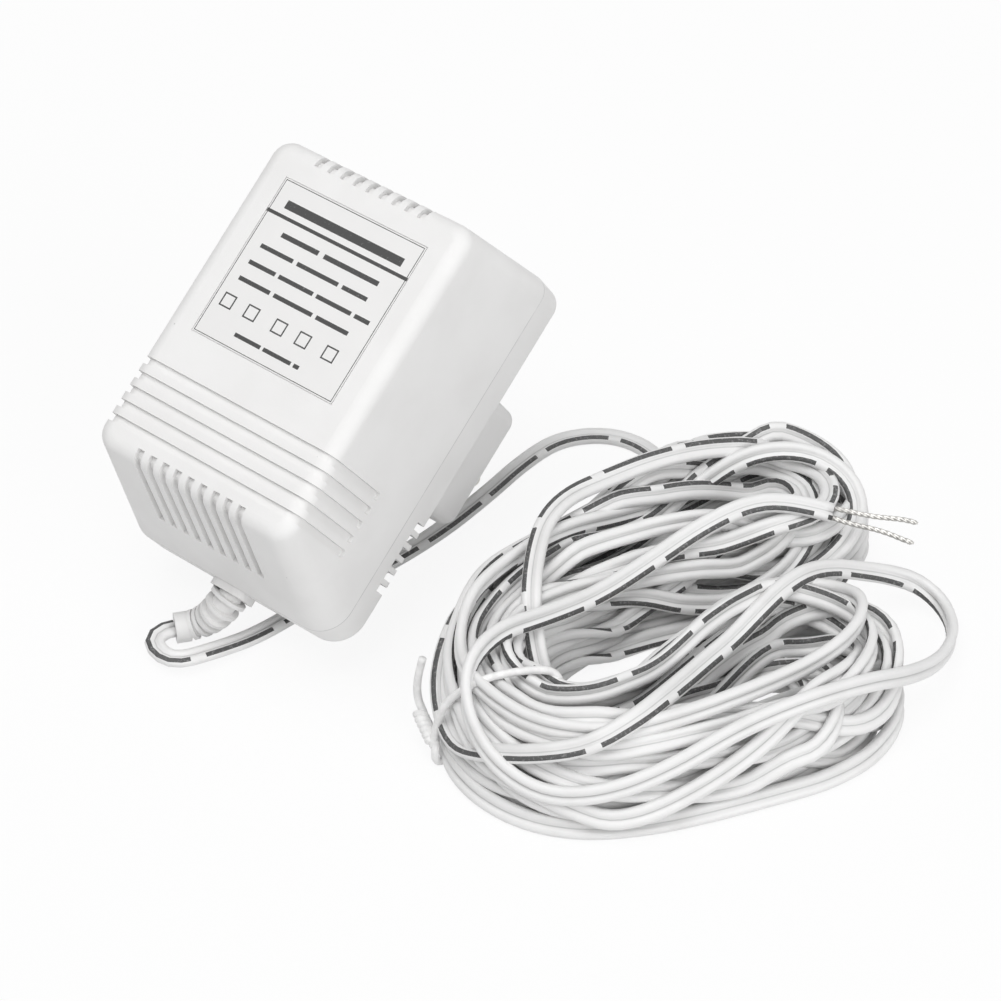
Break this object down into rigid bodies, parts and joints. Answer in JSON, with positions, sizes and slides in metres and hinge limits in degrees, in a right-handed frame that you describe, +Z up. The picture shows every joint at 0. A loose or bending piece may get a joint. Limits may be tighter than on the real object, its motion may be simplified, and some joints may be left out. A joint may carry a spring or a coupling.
{
  "type": "doorbell power adapter",
  "caption": "Plug-in transformer for a doorbell: tapered two-part case with round plug pins, a ringed strain relief and a long flat twin cord in a tied hank.",
  "frame": {"origin": "on the table under the middle of the adapter as it lies leaned over on its plug pins, cord left out", "axes": "+X across the front towards the hank, +Y along the table towards the top end and the pins, +Z up"},
  "size_m": [0.1426, 0.1217, 0.0847],
  "materials": {
    "case_plastic": "fine satin texture, white",
    "label": "printed white film",
    "pin_metal": "nickel plated",
    "sleeve_plastic": "black insulation",
    "core_steel": "stacked laminations",
    "bobbin_plastic": "moulded nylon",
    "copper": "enamelled wire",
    "tape": "yellow film tape",
    "fuse": "moulded",
    "terminal": "tinned",
    "mains_insulation": "brown insulation",
    "output_insulation": "white insulation",
    "relief_rubber": "soft white plastic",
    "cord_jacket": "white flat twin cord",
    "tinned_wire": "twisted and tinned strands",
    "tie": "white coated wire"
  },
  "bodies": {
    "root": {"front_shell": "case_plastic", "back_cover": "case_plastic", "rating_label": "label", "left_plug_pin": "pin_metal", "right_plug_pin": "pin_metal", "left_pin_sleeve": "sleeve_plastic", "right_pin_sleeve": "sleeve_plastic", "core_e_stack": "core_steel", "core_i_stack": "core_steel", "bobbin": "bobbin_plastic", "primary_winding": "copper", "secondary_winding": "copper", "primary_tape": "tape", "secondary_tape": "tape", "thermal_fuse": "fuse", "primary_terminals": "terminal", "secondary_terminals": "terminal", "left_mains_lead": "mains_insulation", "right_mains_lead": "mains_insulation", "output_lead_a": "output_insulation", "output_lead_b": "output_insulation", "strain_relief": "relief_rubber", "cord_run": "cord_jacket", "cord_hank": "cord_jacket", "cord_tail": "cord_jacket", "bare_end_a": "tinned_wire", "bare_end_b": "tinned_wire", "twist_tie": "tie"}
  },
  "joints": []
}
